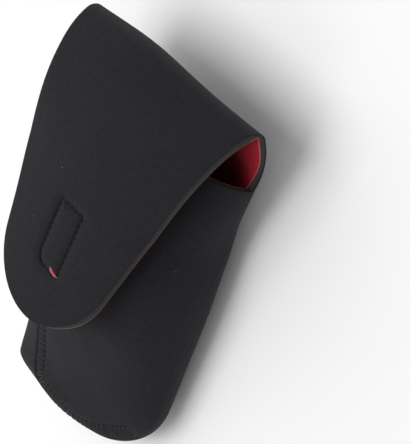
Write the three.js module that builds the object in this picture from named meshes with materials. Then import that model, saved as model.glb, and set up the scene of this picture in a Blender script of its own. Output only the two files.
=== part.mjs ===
// Soft lens pouch cut from one sheet of padded knit fabric, lying on its back with the flap closed.
// X runs across the pouch, Y from the bottom seam to the fold of the flap, Z up to the front. Millimetres.
import * as THREE from "three";
import { mergeVertices } from "three/addons/utils/BufferGeometryUtils.js";

// Sheet: a foam core with a knit face on each side, glued together
const knitThickness = 0.45;
const foamThickness = 1.9;
const liningThickness = 0.45;
const glueGap = 0.1;
const sheetThickness = knitThickness + foamThickness + liningThickness + 2 * glueGap;

// Body: a tube wrapped from the sheet, round at the mouth and flattening to its bottom seam
const mouthWidth = 78.5;
const mouthDepth = 42;
const mouthFlare = 3;
const flareSharpness = 8;
const frontLength = 128.4;
const bottomRightWidth = 40.5;
const bottomLeftWidth = 35.5;
const bottomSeamHeight = 12.5;
const bottomSeamTilt = 0.14;
const frontBelly = 6;
const wedgeLength = 84;
const wedgeCurveShare = 0.5;
const noseHeight = 6;
const noseLength = 9;
const backRoundLength = 30;
const rightCornerWidth = 37;
const rightCornerHeight = 30;
const leftCornerWidth = 12;
const leftCornerHeight = 5;
const frontFullness = 2.05;
const backFullness = 2.6;
const flatBackShare = 0.06;

// Fold: the back runs on past the mouth, rises and turns over into the flap
const foldWidth = 91;
const throatLength = 22.9;
const foldStartY = frontLength + throatLength;
const foldStartZ = 31;
const backRiseLength = 57.3;
const foldLean = 0.68;
const foldRadius = 5.3;
const foldTurn = 1.66;
const foldLeftTrim = 3.2;
const trimLength = 24;
const stripEnd = 16;
const jointGap = 0.3;

// Flap: a long tongue with a round end
const flapLength = 115;
const tipRadius = 28;
const flapCrown = 4.6;
const flapCrownWidth = 80;
const crownGrowLength = 50;
const flapLeftBow = 2.3;
const flapDrift = 3.7;
const flapPitchDown = 0.02;

// Closure: a strip of hooks under the flap that presses on a strip of loops on the front
const hookWidth = 16;
const hookLength = 30;
const hookThickness = 1.4;
const hookCentre = 80.5;
const loopWidth = 20;
const loopLength = 38;
const loopThickness = 1.3;
const pressGap = 0.35;
const stitchInset = 2;

// Threads
const threadDiameter = 0.5;
const threadClearance = 0.15;
const liningClearance = 0.65;
const threadEndGap = 1.4;
const seamWidth = 3.6;
const seamPitch = 3;
const seamFlat = 0.8;
const seamInset = 18;
const seamBottomInset = 4;
const seamCornerRadius = 12;
const seamRimInset = 1.5;
const seamEndInset = 9;
const redStitchLength = 5.5;
const redStitchDiameter = 0.9;
const redStitchShares = [-0.5, -0.2, 0.2, 0.5];
const stitchesAcross = 4;
const stitchesAlong = 8;

// Facets
const halfColumns = 18;
const tubeRows = 14;
const throatRows = 4;
const stripRows = 7;
const flapRows = 16;
const flapColumns = 12;
const profileSteps = 480;
const settleSteps = 40;
const rowCrowding = 1.7;
const tipCrowding = 1.5;
const patchRows = 6;
const patchColumns = 5;
const threadSides = 5;

const degenerate = 1e-7;

// Colours
const blackKnit = { color: 0x2b2b2e, roughness: 0.95, metalness: 0 };
const blackFoam = { color: 0x161617, roughness: 1, metalness: 0 };
const redKnit = { color: 0xa01830, roughness: 0.9, metalness: 0 };
const blackTape = { color: 0x1d1d1f, roughness: 0.8, metalness: 0 };
const blackThread = { color: 0x222225, roughness: 0.6, metalness: 0 };
const redThread = { color: 0xc22038, roughness: 0.5, metalness: 0 };

const clampShare = (value) => Math.min(1, Math.max(0, value));

// Rise of a quarter circle over a length, as a share of full height
const quarterRound = (along, length) => {
  const rest = 1 - clampShare(along / length);
  return Math.sqrt(1 - rest * rest);
};

// Half width of the body on the side that sign gives, at a depth below the outer face
function bodyHalfWidth(y, depth, sign) {
  const share = clampShare(y / frontLength);
  const bottom = sign > 0 ? bottomRightWidth : bottomLeftWidth;
  const flare = mouthFlare * Math.pow(share, flareSharpness);
  const half = bottom + (mouthWidth / 2 - bottom) * share + flare - depth;
  const width = (sign > 0 ? rightCornerWidth : leftCornerWidth) - depth;
  const height = (sign > 0 ? rightCornerHeight : leftCornerHeight) - depth;
  return half - width * (1 - quarterRound(y - depth, height));
}

// Height of the widest line of the body
const ridgeHeight = (y) =>
  bottomSeamHeight + (mouthDepth / 2 - bottomSeamHeight) * clampShare(y / frontLength);

// The bottom seam stands higher at its left end and lower at its right end; nothing is left of this at the mouth
const tilt = (x, y) =>
  1 - (bottomSeamTilt * x * Math.pow(1 - clampShare(y / frontLength), 2)) / bottomLeftWidth;

// The back leaves the ground line near the mouth and reaches the fold's lean at the fold
const risePower = (Math.tan(foldLean) * backRiseLength) / foldStartZ;
const riseShare = (y) => Math.max(0, 1 - (foldStartY - y) / backRiseLength);
const backRise = (y) => foldStartZ * Math.pow(riseShare(y), risePower);
const backSlope = (y) => ((foldStartZ * risePower) / backRiseLength) * Math.pow(riseShare(y), risePower - 1);

function frontTop(y, depth) {
  const share = clampShare(y / frontLength);
  const full = mouthDepth + frontBelly * 4 * share * (1 - share);
  const nose = (noseHeight - depth) * quarterRound(y - depth, noseLength - depth);
  const along = clampShare((y - depth) / (wedgeLength - depth));
  const wedge = along * (1 - wedgeCurveShare) + wedgeCurveShare * along * along * (3 - 2 * along);
  return bottomSeamHeight + nose + (full - bottomSeamHeight - noseHeight) * wedge;
}

function backBottom(y, depth) {
  const wall = depth * Math.hypot(1, backSlope(y));
  const round = quarterRound(y - depth, backRoundLength - depth);
  return bottomSeamHeight + (wall - bottomSeamHeight) * round + backRise(y);
}

// Fullness of a section at a share of its half width: 1 in the middle, 0 at the side
const bulge = (share, power) => Math.pow(Math.max(0, 1 - Math.pow(Math.abs(share), power)), 1 / power);

function frontSurfaceHeight(x, y, depth) {
  const share = Math.min(1, Math.abs(x) / bodyHalfWidth(y, depth, x));
  const ridge = ridgeHeight(y);
  return tilt(x, y) * (ridge + (frontTop(y, depth) - ridge) * bulge(share, frontFullness));
}

// Body point by its share round the half tube, from the right side to the left
function bodyPoint(share, y, depth, front) {
  const across = Math.cos(Math.PI * share);
  const x = across * bodyHalfWidth(y, depth, across);
  const ridge = y <= depth ? bottomSeamHeight : ridgeHeight(y);
  if (front) {
    const height = frontTop(y, depth) - ridge;
    return new THREE.Vector3(x, y, tilt(x, y) * (ridge + height * bulge(across, frontFullness)));
  }
  const floor = backBottom(y, depth);
  const fall = (ridge - floor) * (1 + flatBackShare) * bulge(across, backFullness);
  return new THREE.Vector3(x, y, tilt(x, y) * Math.max(floor, ridge - fall));
}

const rowHeight = (row, depth) => depth + (frontLength - depth) * Math.pow(row / tubeRows, rowCrowding);

// Profile of the sheet's outer face from the start of the fold to the tip of the flap
function makeProfile(settleLength) {
  const arc = foldRadius * foldTurn;
  const lay = Math.PI + flapPitchDown;
  const angleAt = (s) => {
    if (s < arc) return foldLean + s / foldRadius;
    return lay - (lay - foldLean - foldTurn) * Math.exp((arc - s) / settleLength);
  };
  const step = flapLength / profileSteps;
  const points = [{ y: foldStartY, z: foldStartZ }];
  for (let i = 0; i < profileSteps; i++) {
    const angle = angleAt((i + 0.5) * step);
    const last = points[i];
    points.push({ y: last.y + step * Math.cos(angle), z: last.z + step * Math.sin(angle) });
  }
  return (s) => {
    const at = Math.min(profileSteps - 1, Math.max(0, Math.floor(s / step)));
    const part = s / step - at;
    const a = points[at];
    const b = points[at + 1];
    return { y: a.y + (b.y - a.y) * part, z: a.z + (b.z - a.z) * part, angle: angleAt(s) };
  };
}

// The flap settles so that its hooks reach the loops on the front
const stackHeight = sheetThickness + hookThickness + loopThickness + pressGap + 2 * threadClearance;

function settleProfile() {
  let low = foldRadius;
  let high = flapLength;
  for (let i = 0; i < settleSteps; i++) {
    const middle = (low + high) / 2;
    const profile = makeProfile(middle);
    let room = foldWidth;
    for (let j = 0; j <= patchRows; j++) {
      const patch = profile(hookCentre + (j / patchRows - 0.5) * loopLength);
      room = Math.min(room, patch.z - frontTop(patch.y, 0) - stackHeight);
    }
    low = room > 0 ? low : middle;
    high = room > 0 ? middle : high;
  }
  return makeProfile((low + high) / 2);
}

const profileAt = settleProfile();
const foldArc = foldRadius * foldTurn;

// Half width of the flap: a straight taper into a round end
function flapHalfWidth(s) {
  const root = foldArc / 2;
  const centre = flapLength - tipRadius;
  const taper = Math.asin((foldWidth / 2 - tipRadius) / (centre - root));
  const tangent = centre + tipRadius * Math.sin(taper);
  if (s <= root) return foldWidth / 2;
  if (s < tangent) {
    const share = (s - root) / (tangent - root);
    return foldWidth / 2 + (tipRadius * Math.cos(taper) - foldWidth / 2) * share;
  }
  return Math.sqrt(Math.max(0, tipRadius * tipRadius - (s - centre) * (s - centre)));
}

// The left edge is drawn in a little at the fold and bows out below it
const bowEnd = flapLength - tipRadius;
const leftTrim = (s) =>
  foldLeftTrim * Math.pow(1 - clampShare(s / trimLength), 2) -
  flapLeftBow * Math.pow(Math.sin(Math.PI * clampShare((s - foldArc) / (bowEnd - foldArc))), 2);

// Point of the flap at a length from the fold and a share of the half width
function flapPoint(s, share, depth) {
  const at = profileAt(s);
  const beyond = Math.max(0, s - foldArc);
  const across = share * (flapHalfWidth(s) - (share < 0 ? leftTrim(s) : 0));
  const grow = Math.min(1, beyond / crownGrowLength);
  const drop = flapCrown * grow * Math.pow((2 * across) / flapCrownWidth, 2);
  const drift = (flapDrift * beyond) / (flapLength - foldArc);
  return new THREE.Vector3(
    across - drift,
    at.y - depth * Math.sin(at.angle),
    at.z + depth * Math.cos(at.angle) - drop,
  );
}

// The throat joins the back of the mouth to the straight start of the fold
function throatPoint(share, along, depth) {
  const start = bodyPoint(share, frontLength, depth, false);
  const across = Math.cos(Math.PI * share);
  const end = new THREE.Vector3(
    across * (foldWidth / 2 - (across < 0 ? foldLeftTrim : 0)),
    foldStartY - depth * Math.sin(foldLean),
    foldStartZ + depth * Math.cos(foldLean),
  );
  const reach = start.distanceTo(end);
  const settled = along * along * (3 - 2 * along);
  const rest = 1 - along;
  const slope = backSlope(frontLength) * bulge(across, backFullness);
  const spread = (across * mouthFlare * flareSharpness) / frontLength;
  const leave = new THREE.Vector3(spread, 1, slope).normalize().multiplyScalar(reach);
  const arrive = new THREE.Vector3(0, Math.cos(foldLean), Math.sin(foldLean)).multiplyScalar(reach);
  return new THREE.Vector3()
    .addScaledVector(start, 1 - settled)
    .addScaledVector(leave, along * rest * rest)
    .addScaledVector(end, settled)
    .addScaledVector(arrive, -along * along * rest);
}

// Triangles of one closed surface, without those that have no area
class Skin {
  constructor() {
    this.values = [];
  }
  triangle(a, b, c) {
    if (Math.min(a.distanceTo(b), b.distanceTo(c), c.distanceTo(a)) < degenerate) return;
    this.values.push(...a.toArray(), ...b.toArray(), ...c.toArray());
  }
  // Both faces of a wall split their quads along the same diagonal
  quad(a, b, c, d, reversed = false) {
    if (reversed) {
      this.triangle(a, c, b);
      this.triangle(a, d, c);
    } else {
      this.triangle(a, b, c);
      this.triangle(a, c, d);
    }
  }
  // Merged geometry with its faces turned out
  geometry() {
    const made = new THREE.BufferGeometry();
    made.setAttribute("position", new THREE.Float32BufferAttribute(this.values, 3));
    return turnedOut(mergeVertices(made));
  }
}

function turnedOut(geometry) {
  const at = geometry.attributes.position;
  const index = geometry.index.array;
  const [a, b, c] = [new THREE.Vector3(), new THREE.Vector3(), new THREE.Vector3()];
  let volume = 0;
  for (let i = 0; i < index.length; i += 3) {
    a.fromBufferAttribute(at, index[i]);
    b.fromBufferAttribute(at, index[i + 1]);
    c.fromBufferAttribute(at, index[i + 2]);
    volume += a.dot(b.cross(c));
  }
  if (volume < 0) {
    for (let i = 0; i < index.length; i += 3) [index[i + 1], index[i + 2]] = [index[i + 2], index[i + 1]];
  }
  geometry.computeVertexNormals();
  return geometry;
}

// Body layer: an open tube closed at the bottom, with the throat rising from its back
function bodyLayer(outerDepth, innerDepth) {
  const skin = new Skin();
  const tube = (depth, front, row, column) =>
    bodyPoint(column / halfColumns, rowHeight(row, depth), depth, front);
  const throat = (depth, row, column) => throatPoint(column / halfColumns, row / throatRows, depth);
  const cell = (pointAt, row, column) => [
    pointAt(row, column),
    pointAt(row, column + 1),
    pointAt(row + 1, column + 1),
    pointAt(row + 1, column),
  ];
  for (let column = 0; column < halfColumns; column++) {
    const next = column + 1;
    for (const depth of [outerDepth, innerDepth]) {
      const inside = depth === innerDepth;
      for (let row = 0; row < tubeRows; row++) {
        skin.quad(...cell((r, c) => tube(depth, true, r, c), row, column), inside);
        skin.quad(...cell((r, c) => tube(depth, false, r, c), row, column), !inside);
      }
      for (let row = 0; row < throatRows; row++) {
        skin.quad(...cell((r, c) => throat(depth, r, c), row, column), !inside);
      }
    }
    // Cut face of the front's rim
    skin.quad(
      tube(outerDepth, true, tubeRows, column),
      tube(outerDepth, true, tubeRows, next),
      tube(innerDepth, true, tubeRows, next),
      tube(innerDepth, true, tubeRows, column),
    );
    // Cut face where the throat meets the fold
    skin.quad(
      throat(innerDepth, throatRows, column),
      throat(innerDepth, throatRows, next),
      throat(outerDepth, throatRows, next),
      throat(outerDepth, throatRows, column),
    );
  }
  // Cut edges of the throat
  for (let row = 0; row < throatRows; row++) {
    skin.quad(
      throat(outerDepth, row, 0),
      throat(innerDepth, row, 0),
      throat(innerDepth, row + 1, 0),
      throat(outerDepth, row + 1, 0),
    );
    skin.quad(
      throat(outerDepth, row + 1, halfColumns),
      throat(innerDepth, row + 1, halfColumns),
      throat(innerDepth, row, halfColumns),
      throat(outerDepth, row, halfColumns),
    );
  }
  return skin.geometry();
}

// Slab between two depths over a grid of rows and columns, closed along its four edges
function slab(pointAt, rows, columns, outerDepth, innerDepth) {
  const skin = new Skin();
  const outer = (row, column) => pointAt(row / rows, column / columns, outerDepth);
  const inner = (row, column) => pointAt(row / rows, column / columns, innerDepth);
  for (let row = 0; row < rows; row++) {
    for (let column = 0; column < columns; column++) {
      for (const face of [outer, inner]) {
        skin.quad(
          face(row, column),
          face(row, column + 1),
          face(row + 1, column + 1),
          face(row + 1, column),
          face === inner,
        );
      }
    }
    skin.quad(inner(row, 0), outer(row, 0), outer(row + 1, 0), inner(row + 1, 0));
    skin.quad(outer(row, columns), inner(row, columns), inner(row + 1, columns), outer(row + 1, columns));
  }
  for (let column = 0; column < columns; column++) {
    skin.quad(outer(0, column + 1), outer(0, column), inner(0, column), inner(0, column + 1));
    skin.quad(outer(rows, column), outer(rows, column + 1), inner(rows, column + 1), inner(rows, column));
  }
  return skin.geometry();
}

// Part of the flap between two lengths; rows crowd towards the round end
function flapLayer(from, to, rows, crowding, outerDepth, innerDepth) {
  const pointAt = (along, across, depth) => {
    const s = to - (to - from) * Math.pow(1 - along, crowding);
    return flapPoint(s, 2 * across - 1, depth);
  };
  return slab(pointAt, rows, flapColumns, outerDepth, innerDepth);
}

// Point on the front at a height above the outer face, along the face's normal
function frontPoint(x, y, above, depth = 0) {
  const near = threadDiameter;
  const height = (u, v) => frontSurfaceHeight(u, v, depth);
  const normal = new THREE.Vector3(
    (height(x - near, y) - height(x + near, y)) / (2 * near),
    (height(x, y - near) - height(x, y + near)) / (2 * near),
    1,
  ).normalize();
  return new THREE.Vector3(x, y, height(x, y)).addScaledVector(normal, above);
}

// Thread: a thin tube in straight runs from point to point, mitred at each
function thread(points, diameter) {
  const skin = new Skin();
  const last = points.length - 1;
  const runs = points.slice(1).map((point, i) => point.clone().sub(points[i]).normalize());
  const lean = Math.abs(runs[0].z) < Math.SQRT1_2 ? new THREE.Vector3(0, 0, 1) : new THREE.Vector3(1, 0, 0);
  const side = lean.cross(runs[0]).normalize();
  const top = runs[0].clone().cross(side);
  let ring = [];
  for (let i = 0; i < threadSides; i++) {
    const angle = (2 * Math.PI * i) / threadSides;
    const spoke = side.clone().multiplyScalar(Math.cos(angle)).addScaledVector(top, Math.sin(angle));
    ring.push(points[0].clone().addScaledVector(spoke, diameter / 2));
  }
  const cap = (centre, reversed) => {
    for (let i = 0; i < threadSides; i++) {
      const next = ring[(i + 1) % threadSides];
      skin.triangle(centre, reversed ? next : ring[i], reversed ? ring[i] : next);
    }
  };
  cap(points[0], true);
  for (let at = 1; at <= last; at++) {
    const run = runs[at - 1];
    const cut = run.clone().add(runs[Math.min(at, last - 1)]);
    const moved = ring.map((corner) => {
      const reach = points[at].clone().sub(corner).dot(cut) / run.dot(cut);
      return corner.clone().addScaledVector(run, reach);
    });
    for (let i = 0; i < threadSides; i++) {
      const next = (i + 1) % threadSides;
      skin.quad(ring[i], ring[next], moved[next], moved[i]);
    }
    ring = moved;
  }
  cap(points[last], false);
  return skin.geometry();
}

// Corner points of an open loop of stitches round a rectangle, with a gap where its ends meet
function loopOfStitches(width, length, placeAt) {
  const points = [];
  const half = { x: width / 2, s: length / 2 };
  points.push([threadEndGap - half.x, half.s]);
  for (let i = 1; i < stitchesAcross; i++) points.push([half.x * ((2 * i) / stitchesAcross - 1), half.s]);
  for (let i = 0; i < stitchesAlong; i++) points.push([half.x, half.s * (1 - (2 * i) / stitchesAlong)]);
  for (let i = 0; i < stitchesAcross; i++) points.push([half.x * (1 - (2 * i) / stitchesAcross), -half.s]);
  for (let i = 0; i < stitchesAlong; i++) points.push([-half.x, half.s * ((2 * i) / stitchesAlong - 1)]);
  points.push([-half.x, half.s - threadEndGap]);
  return points.map(([x, s]) => placeAt(x, s));
}

// Middle line of the seam on the front, in X and Y: down the left side and along the bottom
function seamLine(depth) {
  const left = (y) => seamInset - bodyHalfWidth(y, 0, -1);
  const path = new THREE.CurvePath();
  const bottom = seamBottomInset + depth;
  const cornerTop = bottom + seamCornerRadius;
  const top = new THREE.Vector2(left(frontLength), frontLength - seamRimInset);
  const low = new THREE.Vector2(left(cornerTop), cornerTop);
  const cornerEnd = new THREE.Vector2(low.x + seamCornerRadius, bottom);
  path.add(new THREE.LineCurve(top, low));
  path.add(new THREE.QuadraticBezierCurve(low, new THREE.Vector2(low.x, bottom), cornerEnd));
  const right = bodyHalfWidth(rightCornerHeight, 0, 1);
  const turn = new THREE.Vector2(right - rightCornerWidth, bottom);
  const end = new THREE.Vector2(right - seamEndInset - depth, rightCornerHeight / 2);
  const bend = new THREE.Vector2((turn.x + end.x) / 2, bottom);
  path.add(new THREE.LineCurve(cornerEnd, turn));
  path.add(new THREE.QuadraticBezierCurve(turn, bend, end));
  return path;
}

// Zigzag of thread over the seam, on the outer face or on the lining, with a short flat at each turn
function seamThread(depth, above) {
  const line = seamLine(depth);
  const count = 2 * Math.round(line.getLength() / seamPitch);
  const places = line.getSpacedPoints(count);
  const points = places.flatMap((place, i) => {
    const before = places[Math.max(0, i - 1)];
    const after = places[Math.min(count, i + 1)];
    const along = after.clone().sub(before).setLength(seamFlat / 2);
    const side = new THREE.Vector2(along.y, -along.x).setLength(i % 2 ? seamWidth / 2 : -seamWidth / 2);
    const middle = place.clone().add(side);
    const ends = [middle.clone().sub(along), middle.add(along)];
    return ends.map((end) => frontPoint(end.x, end.y, above, depth));
  });
  return thread(points, threadDiameter);
}

const parts = new THREE.Group();

function addPart(name, geometry, finish) {
  const mesh = new THREE.Mesh(geometry, new THREE.MeshStandardMaterial(finish));
  mesh.name = name;
  parts.add(mesh);
}

// Layers of the sheet by their depths below the outer face
const foamTop = knitThickness + glueGap;
const liningTop = foamTop + foamThickness + glueGap;
const layers = [
  { name: "outer_knit", from: 0, to: knitThickness, finish: blackKnit },
  { name: "foam_core", from: foamTop, to: foamTop + foamThickness, finish: blackFoam },
  { name: "red_lining", from: liningTop, to: sheetThickness, finish: redKnit },
];

for (const layer of layers) {
  const body = bodyLayer(layer.from, layer.to);
  const strip = flapLayer(jointGap, stripEnd - jointGap / 2, stripRows, 1, layer.from, layer.to);
  const flap = flapLayer(stripEnd + jointGap / 2, flapLength, flapRows, tipCrowding, layer.from, layer.to);
  addPart("body_" + layer.name, body, layer.finish);
  addPart("fold_" + layer.name, strip, layer.finish);
  addPart("flap_" + layer.name, flap, layer.finish);
}

// Hook strip under the flap
const threadRoom = threadDiameter + 2 * threadClearance;
const hookBack = sheetThickness + threadClearance;
const flapShareAt = (x, s) => (x + (flapDrift * (s - foldArc)) / (flapLength - foldArc)) / flapHalfWidth(s);
const underFlap = (x, s, depth) => flapPoint(s, flapShareAt(x, s), depth);
const hookDrift = (flapDrift * (hookCentre - foldArc)) / (flapLength - foldArc);
const hookPointAt = (along, across, depth) =>
  underFlap((across - 0.5) * hookWidth - hookDrift, hookCentre + (along - 0.5) * hookLength, depth);
const hookFront = hookBack + hookThickness;
addPart("hook_strip", slab(hookPointAt, patchRows, patchColumns, hookBack, hookFront), blackTape);

// Loop strip on the front under the hooks
const hookAt = profileAt(hookCentre);
const loopPointAt = (along, across, above) =>
  frontPoint((across - 0.5) * loopWidth - hookDrift, hookAt.y + (along - 0.5) * loopLength, above);
addPart(
  "loop_strip",
  slab(loopPointAt, patchRows, patchColumns, threadClearance + loopThickness, threadClearance),
  blackTape,
);

// Box of stitches that holds the hook strip, seen on the outside of the flap
const boxWidth = hookWidth - 2 * stitchInset;
const boxLength = hookLength - 2 * stitchInset;
const onThread = threadDiameter / 2 + threadClearance;
const underLining = threadDiameter / 2 + liningClearance;
const boxOutside = loopOfStitches(boxWidth, boxLength, (x, s) =>
  underFlap(x - hookDrift, hookCentre + s, -onThread),
);
addPart("hook_stitches", thread(boxOutside, threadDiameter), blackThread);

// Red thread end across half of the box's lower edge
const redMiddle = hookCentre + boxLength / 2 + threadRoom;
const onRed = redStitchDiameter / 2 + threadClearance;
const redPoints = redStitchShares.map((share) =>
  underFlap(boxWidth / 4 + share * redStitchLength - hookDrift, redMiddle, -onRed),
);
addPart("red_stitch", thread(redPoints, redStitchDiameter), redThread);

// Stitches round the loop strip, which pass to the lining
const loopBoxWidth = loopWidth - 2 * stitchInset;
const loopBoxLength = loopLength - 2 * stitchInset;
const liningStitches = loopOfStitches(loopBoxWidth, loopBoxLength, (x, s) =>
  frontPoint(x - hookDrift, hookAt.y + s, -underLining, sheetThickness),
);
addPart("loop_stitches", thread(liningStitches, threadDiameter), blackThread);

// Seam that closes the left side and the bottom: cover thread outside, looper thread on the lining
addPart("seam_thread_outside", seamThread(0, onThread), blackThread);
addPart("seam_thread_inside", seamThread(sheetThickness, -underLining), blackThread);

// The frame's origin is under the middle of the whole pouch
const extent = new THREE.Box3().setFromObject(parts);
parts.position.set(-(extent.min.x + extent.max.x) / 2, -(extent.min.y + extent.max.y) / 2, -extent.min.z);

const pouch = new THREE.Group();
pouch.add(parts);

export default pouch;
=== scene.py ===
"""Padded knit lens pouch, lying closed on its back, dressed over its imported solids."""

import math

import bpy
import numpy as np
from bpy.props import FloatProperty, FloatVectorProperty, IntProperty, PointerProperty
from bpy.types import Operator, Panel, PropertyGroup
from mathutils import Matrix, Vector
from mathutils.kdtree import KDTree


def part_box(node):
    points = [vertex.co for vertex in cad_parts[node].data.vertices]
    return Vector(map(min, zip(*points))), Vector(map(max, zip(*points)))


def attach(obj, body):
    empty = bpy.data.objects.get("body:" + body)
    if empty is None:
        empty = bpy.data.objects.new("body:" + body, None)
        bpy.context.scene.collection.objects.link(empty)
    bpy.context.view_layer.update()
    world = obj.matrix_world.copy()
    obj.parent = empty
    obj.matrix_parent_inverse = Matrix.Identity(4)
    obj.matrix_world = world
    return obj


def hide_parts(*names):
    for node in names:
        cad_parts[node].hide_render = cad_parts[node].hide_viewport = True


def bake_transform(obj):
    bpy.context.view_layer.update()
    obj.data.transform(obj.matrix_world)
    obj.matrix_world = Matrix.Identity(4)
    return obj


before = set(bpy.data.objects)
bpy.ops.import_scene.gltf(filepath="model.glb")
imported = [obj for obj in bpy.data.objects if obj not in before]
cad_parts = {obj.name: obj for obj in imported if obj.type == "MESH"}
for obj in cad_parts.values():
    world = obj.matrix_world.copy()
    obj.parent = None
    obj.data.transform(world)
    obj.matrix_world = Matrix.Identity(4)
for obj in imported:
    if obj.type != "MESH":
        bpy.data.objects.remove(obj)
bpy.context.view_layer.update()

bl_info = {
    "name": "Lens Pouch",
    "version": (1, 0, 0),
    "blender": (4, 5, 0),
    "location": "View3D > Sidebar > Pouch",
    "description": "Builds a padded knit pouch with a flap and its closure",
    "category": "Object",
}

# Layers of the sheet: name, material slot, ending of its solids' names, depths below the black face
# in millimetres, and how far the cut edge is drawn in, from the outer face or, below 0, the inner one
LAYERS = (
    ("knit", "black_knit", "outer_knit", (0.0, 0.45), 0.1),
    ("foam", "neoprene_foam", "foam_core", (0.55, 2.45), 0.0),
    ("lining", "red_lining", "red_lining", (2.55, 3.0), -0.08),
)
SHEET = 3.0

# Body, in millimetres: X across, Y from the bottom seam to the fold, Z up from the back
MOUTH_WIDTH = 78.5
MOUTH_DEPTH = 42.0
MOUTH_FLARE = 3.0
FLARE_SHARPNESS = 8
FRONT_LENGTH = 128.4
BOTTOM_RIGHT = 40.5
BOTTOM_LEFT = 35.5
BOTTOM_HEIGHT = 12.5
BOTTOM_TILT = 0.14
FRONT_BELLY = 6.0
WEDGE_LENGTH = 84.0
WEDGE_CURVE = 0.5
NOSE_HEIGHT = 6.0
NOSE_LENGTH = 9.0
BACK_ROUND = 30.0
RIGHT_CORNER = (37.0, 30.0)
LEFT_CORNER = (12.0, 5.0)
FRONT_FULLNESS = 2.05
BACK_FULLNESS = 2.6
FLAT_BACK = 0.06

# Fold and flap
FOLD_WIDTH = 91.0
FOLD_Y = 151.3
FOLD_Z = 31.0
BACK_RISE_RUN = 57.3
FOLD_LEAN = 0.68
FOLD_RADIUS = 5.3
FOLD_TURN = 1.66
FOLD_TRIM = 3.2
TRIM_LENGTH = 24.0
MID_STRIP = 8.0
FLAP_LENGTH = 115.0
TIP_RADIUS = 28.0
FLAP_CROWN = 4.6
CROWN_WIDTH = 80.0
CROWN_GROW = 50.0
FLAP_BOW = 2.3
FLAP_DRIFT = 3.7
FLAP_PITCH = 0.02
FOLD_ARC = FOLD_RADIUS * FOLD_TURN

# Forms of this one pouch that its plain solids leave out
DENT = 2.9
BOTTOM_LIP = 1.5
FOLD_BOW = 2.0
FOLD_CREASE = 1.35
TIP_SLANT = 1.0
TIP_TRIM = 1.3

# Closure and threads
HOOK_SIZE = (16.0, 30.0)
HOOK_HEIGHT = 1.4
HOOK_CENTRE = 80.5
HOOK_TAPE = 0.5
HOOK_BEND = 0.23
HOOK_CORNERS = (0.9, 4.5, 1.2, 1.2)
LOOP_SIZE = (20.0, 38.0)
LOOP_HEIGHT = 1.3
LOOP_TAPE = 0.4
LOOP_CORNERS = (0.8,) * 4
PRESS_GAP = 0.35
CLEARANCE = 0.15
STITCH_INSET = 2.0
BOX_ASIDE = 1.1
BOX_LEAN = 0.045
SEAM_INSET = 18.0
SEAM_BOTTOM = 4.0
SEAM_DROP = 1.7
SEAM_CORNER = 9.0
SEAM_RIM = 1.5
SEAM_END = 9.0
SEAM_RUN_ON = ((2.2, 2.2), (3.4, 4.2))
SEAM_FADE = 7.0
COURSE_STEP = 0.25
BOX_STEP = 0.2
PUCKER = 0.05

# Painted shade inside the mouth: the lining's colour is darkened where the mouth lies in shadow, in
# millimetres on the lining's flat cut
SHADE_REACH = 42.5
SHADE_RISE = 12.0
SHADE_END = 172.0
SHADE_FADE = 22.0
SHADE_MOST = 0.68

# Places along each grid and the spacing wanted there, finer where stitches press the sheet
SEAM_HALF = 39.0
BODY_ROWS = ((0, 1, 9, 22, 26, FRONT_LENGTH), (0.3, 0.36, 0.4, 0.7, 1.1, 1.2))
FLAP_COLUMNS = ((-1, -0.36, -0.28, 0.24, 0.32, 1), (0.026, 0.026, 0.0098, 0.0098, 0.026, 0.026))
TIP_START = 100
FLAP_ROWS = ((MID_STRIP, 20, 60, 64, 97, TIP_START), (0.45, 1.1, 1.1, 0.36, 0.36, 0.9))
PROFILE_STEPS = 480

# Edges sharper than this, in degrees, aren't smoothed; no thread starts along this direction
SHARP_ANGLE = 50.0
ASKEW = (0.31, 0.17, 0.94)

# Lights, each with its place and width in metres and its power in watts
LIGHTS = (
    ("key", (-0.95, 0.1, 0.55), 1.4, 5.0),
    ("fill", (0.4, -0.9, 0.8), 0.9, 2.6),
    ("top", (-0.1, 0.0, 1.2), 0.9, 8.6),
)
WORLD_LIGHT = 0.36

# The photograph's camera: its turn in radians, its place in millimetres along its own right, up and
# back, and its focal length and picture width in pixels
CAMERA_YAW, CAMERA_PITCH, CAMERA_ROLL = 0.656, 0.424, 0.413
CAMERA_PLACE = (44.323, 75.781, 576.191)
CAMERA_DROP = 3
PHOTO_FOCAL, PHOTO_WIDTH = 1450, 411
FILM_WIDTH = 36.0

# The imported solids' own place gives the shift from the pouch's coordinates to the frame's
KNIT_LOW, KNIT_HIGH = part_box("body_outer_knit")
SHIFT = np.array([KNIT_HIGH[0] * 1000 - FOLD_WIDTH / 2, KNIT_LOW[1] * 1000, 0.0])


def metres(points):
    """Points of the pouch in millimetres, as points of the frame in metres."""
    return (np.asarray(points, float) + SHIFT) / 1000


def clamp(value):
    return np.clip(value, 0.0, 1.0)


def ease(share):
    return share * share * (3 - 2 * share)


def ramp(value, start, length):
    """Eased rise from 0 at a start to 1 a length further on."""
    return ease(clamp((value - start) / length))


def bell(value, width):
    return np.exp(-((value / width) ** 2))


def unit(vectors):
    return vectors / np.maximum(np.linalg.norm(vectors, axis=-1, keepdims=True), 1e-12)


def stack(x, y, z):
    return np.stack(np.broadcast_arrays(x, y, z), axis=-1).astype(float)


def added_up(steps):
    return np.concatenate([[0], np.cumsum(steps)])


def gaps(points):
    """Distances between neighbours down the rows of points."""
    return np.linalg.norm(np.diff(points, axis=0), axis=-1)


def spread(places, steps):
    """Values from the first place to the last, spaced by the step wanted at each place."""
    fine = np.linspace(places[0], places[-1], 4000)
    count = added_up(np.diff(fine) / np.interp(fine[:-1], places, steps))
    whole = max(2, round(count[-1]))
    return np.interp(np.linspace(0, count[-1], whole + 1), count, fine)


def thinned(values, coarse):
    """Every value or every second one, always with the last."""
    kept = values[::coarse]
    return kept if kept[-1] == values[-1] else np.append(kept, values[-1])


# Shape of the body


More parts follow.
